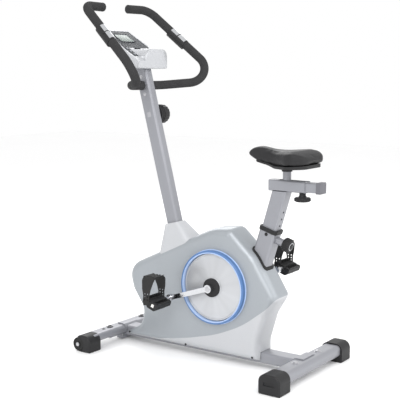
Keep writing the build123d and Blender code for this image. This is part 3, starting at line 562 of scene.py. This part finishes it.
class BIKE_OT_saddle(bpy.types.Operator):
    """Puff up the saddle's padding"""
    bl_idname = "bike.saddle"
    bl_label = "Saddle"

    def execute(self, context):
        settings = context.scene.saddle_settings
        pad = self.blank(context, settings)
        self.inflate(context, pad, settings)
        pad.modifiers.new("Smooth cover", "SUBSURF").levels = 1
        pad.modifiers["Smooth cover"].render_levels = 1
        pad.data.materials.clear()
        pad.data.materials.append(finish("leather"))
        pad.data.shade_smooth()
        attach(pad, "saddle")
        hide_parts("saddle_cushion")
        return {"FINISHED"}

    def blank(self, context, settings):
        """A rounded, slightly smaller copy of the CAD cushion in even voxels."""
        low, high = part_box("saddle_cushion")
        middle = (low + high) / 2
        bm = bmesh.new()
        bm.from_mesh(NODES["saddle_cushion"].data)
        settle(bm)
        shrink = Matrix.Diagonal((0.975, 0.955, 0.90, 1))
        moved(bm, Matrix.Translation(middle) @ shrink @ Matrix.Translation(-middle))
        mesh = bpy.data.meshes.new("saddle_pad")
        bm.to_mesh(mesh)
        bm.free()
        pad = bpy.data.objects.new("saddle_pad", mesh)
        context.scene.collection.objects.link(pad)
        remesh = pad.modifiers.new("Voxels", "REMESH")
        remesh.mode = "VOXEL"
        remesh.voxel_size = settings.voxel
        relax = pad.modifiers.new("Relax", "SMOOTH")
        relax.iterations = 14
        relax.factor = 0.5
        self.apply_all(context, pad)
        return pad

    def inflate(self, context, pad, settings):
        """Cloth under pressure, held to a small swell."""
        before = [v.co.copy() for v in pad.data.vertices]
        cloth = pad.modifiers.new("Cover", "CLOTH").settings
        cloth.use_pressure = True
        cloth.uniform_pressure_force = settings.pressure
        cloth.tension_stiffness = 30
        cloth.compression_stiffness = 30
        cloth.effector_weights.gravity = 0
        scene = context.scene
        for step in range(1, settings.frames + 1):
            scene.frame_set(step)
        self.apply_all(context, pad)
        scene.frame_set(1)
        for vertex, start in zip(pad.data.vertices, before):
            travel = vertex.co - start
            if travel.length > settings.swell:
                vertex.co = start + travel.normalized() * settings.swell

    def apply_all(self, context, obj):
        """Replaces the mesh with what its modifiers make of it."""
        graph = context.evaluated_depsgraph_get()
        made = bpy.data.meshes.new_from_object(obj.evaluated_get(graph))
        obj.modifiers.clear()
        obj.data = made


class BIKE_OT_grips(bpy.types.Operator):
    """Round off the foam at the ends of the upper bar and beside the mast"""
    bl_idname = "bike.grips"
    bl_label = "Grips"

    def execute(self, context):
        foam = 16.0
        end_plug = [(0, 5.2), (5, 5.0), (9.5, 4.0), (12.4, 2.4), (13.6, 1.6), (foam, 1.4), (foam + 0.3, 0.4),
                    (foam + 0.2, -1.2), (foam - 0.6, -1.6), (0, -1.6)]
        parts = []
        for side in (-1, 1):
            corner, end = self.bar_end(side)
            parts.append(moved(spun(end_plug), aimed(end, end - corner)))
        piece("bar_end_plugs", joined(parts), "foam")
        cuff = [(12.9, -1.2), (foam + 0.2, -1.0), (foam + 1.0, 0.4), (foam + 1.0, 3.4), (foam + 0.2, 4.8),
                (12.9, 5.0), (12.9, -1.2)]
        cuffs = []
        for side in (-1, 1):
            inner = mast_at(BAR_Z).translation + Vector((0, side * 27 * MM, 0))
            cuffs.append(moved(spun(cuff), aimed(inner, (0, side, 0))))
        piece("grip_cuffs", joined(cuffs), "foam")
        return {"FINISHED"}

    def bar_end(self, side):
        """Corner of the upper bar and the end of its foam."""
        return Vector((420, side * 183, 1250)) * MM, Vector((431, side * 73, 1250)) * MM


def arm_at(side, share):
    """Matrix on a handlebar arm, Z up along it, at a share of its straight length."""
    low, high = Vector((113, side * 243, 986)) * MM, Vector((420, side * 183, 1250)) * MM
    return aimed(low.lerp(high, share), high - low, (-0.6, 0, 0.8))


class BIKE_OT_sensors(bpy.types.Operator):
    """Add the black bridge between the plates of each pulse sensor"""
    bl_idname = "bike.sensors"
    bl_label = "Pulse sensors"

    def execute(self, context):
        bridge = [(16.4, 0), (17.8, 0.3), (18.3, 1.0), (18.3, 3.0), (17.8, 3.7), (16.4, 4.0), (16.4, 0)]
        bands = [moved(spun(bridge), arm_at(side, 0.5) @ at(0, 0, 39)) for side in (-1, 1)]
        piece("sensor_bridges", joined(bands), "black_plastic")
        return {"FINISHED"}


class BIKE_OT_console(bpy.types.Operator):
    """Dress the console: display rims, keys with their collars and the trim"""
    bl_idname = "bike.console"
    bl_label = "Console"

    def execute(self, context):
        window = PANEL @ at(80, 4, 0)
        rim = moved(frame_plate(rounded_outline(56, 82, 8), 4.6, 1.6), window)
        piece("display_rim", rim, "black_plastic")
        trim = [(30, -74.6), (132, -69.0), (134.6, -66), (134.6, 66), (132, 69.0), (30, 74.6), (30, 72.4),
                (125, 67.0), (127, 65.0), (127, -65.0), (125, -67.0), (30, -72.4)]
        piece("console_trim", moved(slab(trim, 1.4, 0.5), PANEL), "cover_light")
        border = frame_plate(rounded_outline(50, 76, 5), 1.6, 2.0)
        piece("display_border", moved(border, window), "button")
        dome = [(0, 3.4), (2.4, 3.2), (3.8, 2.6), (4.6, 1.7), (4.8, 0.8), (4.8, -1.6), (0, -1.6)]
        collar = [(5.7, 0), (5.7, 0.6), (6.0, 0.9), (7.6, 0.9), (8.0, 0.5), (8.0, 0), (5.7, 0)]
        collars = []
        for along, across, name in ((8, 61, "mode"), (-11, 59, "set"), (-30, 57, "reset")):
            place = PANEL @ at(along, across, 0)
            key = moved(spun(dome, 32), place)
            piece(name + "_key", key, "button", "button_" + name, (name + "_button",))
            collars.append(moved(spun(collar, 48), place))
        piece("key_collars", joined(collars), "dark_panel")
        copied_node("console_housing", "console_shell", "cover_light")
        return {"FINISHED"}


class BIKE_OT_dial(bpy.types.Operator):
    """Shape the tension dial: scalloped knob, pointer and scale ring"""
    bl_idname = "bike.dial"
    bl_label = "Tension dial"

    def execute(self, context):
        axis = Matrix.Translation(mast_at(DIAL_Z).translation) @ Matrix.Rotation(math.radians(90), 4, "X")
        skirt = spun([(0, 34.6), (33.0, 34.6), (35.0, 35.6), (35.6, 38), (35.4, 56), (34.0, 62.0),
                      (31.0, 65.0), (26, 66.4), (0, 67.0)], 108)
        for vertex in skirt.verts:
            angle = math.atan2(vertex.co.y, vertex.co.x)
            reach = math.hypot(vertex.co.x, vertex.co.y)
            if reach > 33.5 * MM:
                vertex.co.xy *= 1 - 0.05 * (0.5 + 0.5 * math.cos(18 * angle))
        piece("dial_knob", moved(skirt, axis), "black_plastic", "dial", ("tension_dial",))
        pointer = moved(rounded_block((2.4, 14, 1.2), 0.5, 2), axis @ at(0, 19, 66.8))
        piece("dial_pointer", pointer, "label", "dial")
        ring = spun([(24, 33.9), (31.4, 33.9), (32.2, 33.2), (32.2, 29.6), (31, 28.4), (24, 28.4),
                     (24, 33.9)], 90)
        piece("dial_scale", moved(ring, axis), "black_plastic")
        return {"FINISHED"}


def ribbed_grip(radius, depth, ribs, rib):
    """Round hand knob with rounded ribs round its rim, along Z from 0 to depth."""
    body = spun([(0, 0.6), (radius - 6, 0.2), (radius - 2.4, 0.8), (radius - 0.6, 2.6), (radius, 5),
                 (radius, depth - 5), (radius - 0.6, depth - 2.6), (radius - 2.6, depth - 0.8),
                 (radius - 7, depth), (0, depth - 0.8)], 96)
    parts = [body]
    for i in range(ribs):
        turn = Matrix.Rotation(math.tau * i / ribs, 4, "Z")
        bead = moved(rounded_block((rib, rib, depth - 5), rib * 0.42, 3),
                     turn @ at(radius, 0, depth / 2))
        parts.append(bead)
    return joined(parts)


class BIKE_OT_knobs(bpy.types.Operator):
    """Make the seat height knob and the saddle clamp knob"""
    bl_idname = "bike.knobs"
    bl_label = "Knobs"

    def execute(self, context):
        pin = seat_at(PIN_Z) @ Matrix.Rotation(math.radians(-90), 4, "Y")
        grip = moved(ribbed_grip(22.6, 28, 20, 3.2), pin @ at(0, 0, 62))
        stem = moved(spun([(0, 26), (5, 26), (5, 58), (10, 60), (10, 64), (0, 64)], 48), pin)
        piece("height_knob", grip, "black_plastic", "pin", ("height_pin",))
        piece("height_pin_shaft", stem, "steel", "pin")
        ring = spun([(11.5, 89.4), (13.0, 89.4), (13.8, 89.8), (13.8, 90.4), (13.2, 90.8), (11.5, 90.8),
                     (11.5, 89.4)], 64)
        piece("height_knob_ring", moved(ring, pin), "chrome", "pin")
        button = spun([(0, 93.4), (6, 93.2), (9.6, 92.4), (11.3, 90.8), (11.3, 89.4), (0, 89.4)], 48)
        piece("height_knob_end", moved(button, pin), "black_plastic", "pin")
        copied_node("slider_plug", "slider_end_cap", "plug_grey", "saddle")
        clamp = at(-369, 0, 606) @ Matrix.Rotation(math.pi, 4, "X")
        disc = moved(ribbed_grip(25.4, 16, 14, 4.6), clamp)
        neck = moved(spun([(0, 2), (14, 0.5), (12.2, -3), (11, -6), (11, -14.6), (0, -14.6)], 48), clamp)
        piece("clamp_grip", joined([disc, neck]), "black_plastic", "clamp", ("clamp_knob",))
        return {"FINISHED"}


class BIKE_OT_pedals(bpy.types.Operator):
    """Dress the pedals: tread studs, reflector, dust cap and strap ribs"""
    bl_idname = "bike.pedals"
    bl_label = "Pedals"

    def execute(self, context):
        for side, name in ((1, "left"), (-1, "right")):
            base = pedal_at(side)
            body = "pedal_" + name + "_body"
            studs, ribs = [], []
            for x in (-27, -11, 11, 27):
                for y in range(-30, 31, 10):
                    cone = spun([(0, 16.0), (1.2, 15.6), (2.0, 13.8), (2.2, 12.0), (0, 12.0)], 16)
                    studs.append(moved(cone, base @ at(x, y, 0)))
            piece("tread_studs_" + name, joined(studs), "rubber_black", body)
            outer = moved(rounded_block((34, 3.2, 11), 1.4, 3),
                          base @ at(0, side * 41.4, -1))
            piece("pedal_reflector_" + name, outer, "reflector", body)
            cap = spun([(0, 3.4), (5, 3.0), (8.2, 1.8), (9.2, 0), (9.2, -2), (0, -2)], 40)
            tip = base @ at(0, side * 41, 0) @ sideways(side)
            piece("pedal_dust_cap_" + name, moved(cap, tip), "black_plastic", body)
            upright = Matrix.Translation(base.translation)
            for x in (-8, 38):
                edge = rounded_block((2.4, 60, 2.6), 1.0, 2)
                ribs.append(moved(edge, upright @ at(x, 0, 91.4)))
            for x in (3, 15, 27):
                edge = rounded_block((6, 44, 1.8), 0.8, 2)
                ribs.append(moved(edge, upright @ at(x, 0, 92.4)))
            piece("strap_ribs_" + name, joined(ribs), "rubber_black", body)
        return {"FINISHED"}


class BIKE_OT_crank(bpy.types.Operator):
    """Cap the crank arms and trim the turning discs"""
    bl_idname = "bike.crank"
    bl_label = "Crank"

    def execute(self, context):
        hub, plain, discs = [], [], []
        for side in (-1, 1):
            out = Matrix.Translation(CRANK) @ sideways(side)
            cap = spun([(0, 102.2), (5, 102.0), (8.6, 101.2), (10.2, 100.0), (10.4, 98.4), (0, 98.4)], 48)
            hub.append(moved(cap, out))
            skirt = spun([(14, 81.2), (29.5, 81.2), (32.0, 80.2), (33.2, 78.0), (33.4, 70.4), (30, 69),
                          (14, 69), (14, 81.2)], 96)
            plain.append(moved(skirt, out))
            rim = spun([(112.4, 66.2), (113.4, 67.6), (115.6, 68.2), (118.0, 67.8), (118.9, 66.4),
                        (118.9, 65.2), (112.4, 65.2), (112.4, 66.2)], 128)
            discs.append(moved(rim, out))
            boss = Matrix.Translation(arm_end(side)) @ sideways(side)
            bolt = spun([(0, 116.2), (3, 116.0), (5.4, 115.2), (6.2, 114.2), (6.2, 113.4), (0, 113.4)], 6)
            hub.append(moved(bolt, boss))
        piece("crank_caps", joined(hub), "steel", "crank")
        piece("crank_hub_shrouds", joined(plain), "black_plastic", "crank")
        piece("disc_rims", joined(discs), "disc_silver", "crank")
        return {"FINISHED"}


class BIKE_OT_covers(bpy.types.Operator):
    """Add the ring's lips and seats, pale blue as painted highlight along the ring's edges, and the screws
    that hold the covers
    """
    bl_idname = "bike.covers"
    bl_label = "Covers"

    def execute(self, context):
        lips, seats, screws = [], [], []
        for side in (-1, 1):
            out = Matrix.Translation(CRANK) @ sideways(side)
            # Lips and seats are real rims. Their pale blue is a painted highlight.
            lip = spun([(120.6, 60), (120.6, 76.2), (121.4, 77.6), (123.0, 78.0), (124.6, 77.5),
                        (125.2, 76.4), (124.0, 76.0), (122.2, 75.0), (122.2, 60), (120.6, 60)], 160)
            lips.append(moved(lip, out))
            foot = spun([(130.2, 58.0), (133.4, 58.2), (134.0, 59.0), (133.2, 60.4), (131.6, 61.2),
                         (130.4, 61.4), (130.2, 58.0)], 160)
            seats.append(moved(foot, out))
            for x, z in ((335, 42), (73, 38), (-211, 41)):
                place = at(x, 0, z) @ sideways(side)
                head = spun([(0, 1.4), (2.0, 1.8), (3.4, 1.6), (4.0, 0.8), (4.0, -1.0), (0, -1.0)], 32)
                screws.append(moved(head, place @ at(0, 0, 53.6)))
        piece("ring_lips", joined(lips), "painted_halo_blue")
        for name, slot in (("upper_cover", "cover_silver"), ("lower_cover", "cover_light")):
            self.soft_shells(name, slot)
        piece("ring_seats", joined(seats), "painted_halo_blue")
        piece("cover_screws", joined(screws), "black_plastic")
        return {"FINISHED"}

    def soft_shells(self, name, slot):
        """The stepped edge of a cover shaded as one soft curve."""
        for side in ("_left", "_right"):
            copied_node(name + "_shell" + side, name + side, slot)


def dome_head(radius, height):
    """Screw head with a washer, its foot at Z 0."""
    dome = ((0, 1), (0.45, 0.95), (0.78, 0.7), (0.96, 0.3), (1, 0))
    washer = [(radius + 3, -0.2), (radius + 3, -1.4), (0, -1.4)]
    return spun([(radius * r, height * h) for r, h in dome] + washer, 40)


class BIKE_OT_fasteners(bpy.types.Operator):
    """Set the dome heads, the mast screws, the tube plugs and the plain label"""
    bl_idname = "bike.fasteners"
    bl_label = "Fasteners"

    def execute(self, context):
        for name, slot, x, spread, z in (("rear_domes", "steel", -395, 78, 63.2),
                                         ("front_domes", "black_plastic", 397, 95, 61.2)):
            domes = [moved(dome_head(9.6, 5.6), at(x, side * spread, z)) for side in (-1, 1)]
            piece(name, joined(domes), slot)
        screws, plugs = [], []
        for z in (935, 998):
            for side in (-1, 1):
                place = mast_at(z) @ at(0, side * MAST_SIDE, 0) @ sideways(side)
                screws.append(moved(dome_head(3.6, 2.0), place @ at(0, 0, 1.0)))
        for side in (-1, 1):
            plugs.append(moved(dome_head(4.0, 1.6), at(398, side * 130, 60.4)))
            place = seat_at(472) @ at(0, side * SEAT_SIDE, 0) @ sideways(side)
            plugs.append(moved(dome_head(3.0, 1.6), place @ at(0, 0, 1.0)))
        piece("mast_screws", joined(screws), "steel")
        piece("tube_plugs", joined(plugs), "black_plastic")
        label = slab(rounded_outline(16, 18, 1.5), 0.25)
        place = mast_at(DIAL_Z) @ at(0, MAST_SIDE, 0) @ sideways(1)
        piece("mast_label", moved(label, place), "label")
        return {"FINISHED"}


class BIKE_OT_wheels(bpy.types.Operator):
    """Make the ribbed transport wheels and the pads under the end caps"""
    bl_idname = "bike.wheels"
    bl_label = "Wheels and feet"

    def execute(self, context):
        for side, name in ((1, "left"), (-1, "right")):
            tread = [(6, -11.6), (17, -11.6), (18.4, -10.6), (19.6, -11.6), (23.2, -11.6), (24.6, -10.4)]
            for groove in (-7, 0, 7):
                tread += [(24.9, groove - 2.0), (23.4, groove - 1.0), (23.4, groove + 1.0),
                          (24.9, groove + 2.0)]
            tread += [(24.6, 10.4), (23.2, 11.6), (19.6, 11.6), (18.4, 9.4), (10.4, 9.0), (9.4, 11.4),
                      (6, 11.6), (6, -11.6)]
            out = at(419, side * 237, 27) @ sideways(side)
            piece("transport_tyre_" + name, moved(spun(tread, 72), out), "rubber_black", "wheel_" + name,
                  ("transport_wheel_" + name,))
        pads = []
        for x, width in ((-395, 58), (384, 40)):
            for side in (-1, 1):
                for step in (-1, 0, 1):
                    pad = rounded_block((width, 9, 1.8), 0.7, 2)
                    pads.append(moved(pad, at(x, side * (214 + 13 * step), 1.0)))
        piece("foot_pads", joined(pads), "rubber_black")
        return {"FINISHED"}


class BIKE_OT_stage(bpy.types.Operator):
    """Lay the floor, hang the soft lamps and set the camera"""
    bl_idname = "bike.stage"
    bl_label = "Stage"

    def execute(self, context):
        settings = context.scene.stage_settings
        self.lay_floor(context, settings)
        self.hang_lamps(context, settings)
        self.set_camera(context, settings)
        return {"FINISHED"}

    def lay_floor(self, context, settings):
        bm = bmesh.new()
        bmesh.ops.create_grid(bm, x_segments=1, y_segments=1, size=settings.floor)
        mesh = bpy.data.meshes.new("floor")
        bm.to_mesh(mesh)
        bm.free()
        made = Finish("Studio floor", Specular_IOR_Level=0.3)
        cloud = made.noise(0.8, 3.0)
        made.feed("Base Color", made.mixed(cloud, (0.97, 0.97, 0.97, 1), (0.985, 0.985, 0.985, 1)))
        made.feed("Roughness", cloud * 0.1 + 0.7)
        mesh.materials.append(made.material)
        floor = bpy.data.objects.new("floor", mesh)
        context.scene.collection.objects.link(floor)

    def hang_lamps(self, context, settings):
        world = bpy.data.worlds.new("Studio")
        world.use_nodes = True
        sky = world.node_tree.nodes["Background"].inputs
        sky["Color"].default_value = (1.0, 1.0, 1.0, 1)
        sky["Strength"].default_value = 1.0
        context.scene.world = world
        context.scene.view_settings.view_transform = "Standard"
        lamps = {
            "key": ((-1.6, 3.2, 3.0), 95, 2.4),
            "fill": ((-3.6, -0.6, 2.2), 45, 2.8),
            "back": ((2.4, -2.6, 2.8), 60, 2.4),
        }
        for name, (place, power, width) in lamps.items():
            lamp = bpy.data.lights.new(name, "AREA")
            lamp.energy = power * settings.exposure
            lamp.size = width
            obj = bpy.data.objects.new(name, lamp)
            toward = Vector((0, 0, 0.55)) - Vector(place)
            obj.location = place
            obj.rotation_euler = toward.to_track_quat("-Z", "Y").to_euler()
            context.scene.collection.objects.link(obj)

    def set_camera(self, context, settings):
        camera = bpy.data.cameras.new("camera")
        camera.lens = settings.lens
        camera.sensor_width = 36
        obj = bpy.data.objects.new("camera", camera)
        ahead = Vector((0.5717, -0.8086, -0.1392)).normalized()
        right = ahead.cross(Vector((0, 0, 1))).normalized()
        up = right.cross(ahead)
        turn = Matrix((right, up, -ahead)).transposed().to_4x4()
        obj.matrix_world = Matrix.Translation((-1.836, 2.663, 1.021)) @ turn
        context.scene.collection.objects.link(obj)
        context.scene.camera = obj


class BIKE_PT_panel(bpy.types.Panel):
    """Lists the bike's pieces in the sidebar"""
    bl_idname = "BIKE_PT_panel"
    bl_label = "Exercise Bike"
    bl_space_type = "VIEW_3D"
    bl_region_type = "UI"
    bl_category = "Bike"

    def draw(self, context):
        layout = self.layout
        for group in ("bike_colours", "saddle_settings", "stage_settings"):
            settings = getattr(context.scene, group)
            for name in settings.__annotations__:
                layout.prop(settings, name)
        for operator in OPERATORS:
            layout.operator(operator.bl_idname)


SETTINGS = {"bike_colours": BikeColours, "saddle_settings": SaddleSettings, "stage_settings": StageSettings}
OPERATORS = (BIKE_OT_finishes, BIKE_OT_saddle, BIKE_OT_grips, BIKE_OT_sensors, BIKE_OT_console, BIKE_OT_dial,
             BIKE_OT_knobs, BIKE_OT_pedals, BIKE_OT_crank, BIKE_OT_covers, BIKE_OT_fasteners, BIKE_OT_wheels,
             BIKE_OT_stage)


def register():
    for made in (*SETTINGS.values(), *OPERATORS, BIKE_PT_panel):
        bpy.utils.register_class(made)
    for name, group in SETTINGS.items():
        setattr(bpy.types.Scene, name, bpy.props.PointerProperty(type=group))


def unregister():
    for name in SETTINGS:
        delattr(bpy.types.Scene, name)
    for made in reversed((*SETTINGS.values(), *OPERATORS, BIKE_PT_panel)):
        bpy.utils.unregister_class(made)


def main():
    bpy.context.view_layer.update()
    register()
    for operator in OPERATORS:
        group, name = operator.bl_idname.split(".")
        getattr(getattr(bpy.ops, group), name)()


if __name__ == "__main__":
    main()
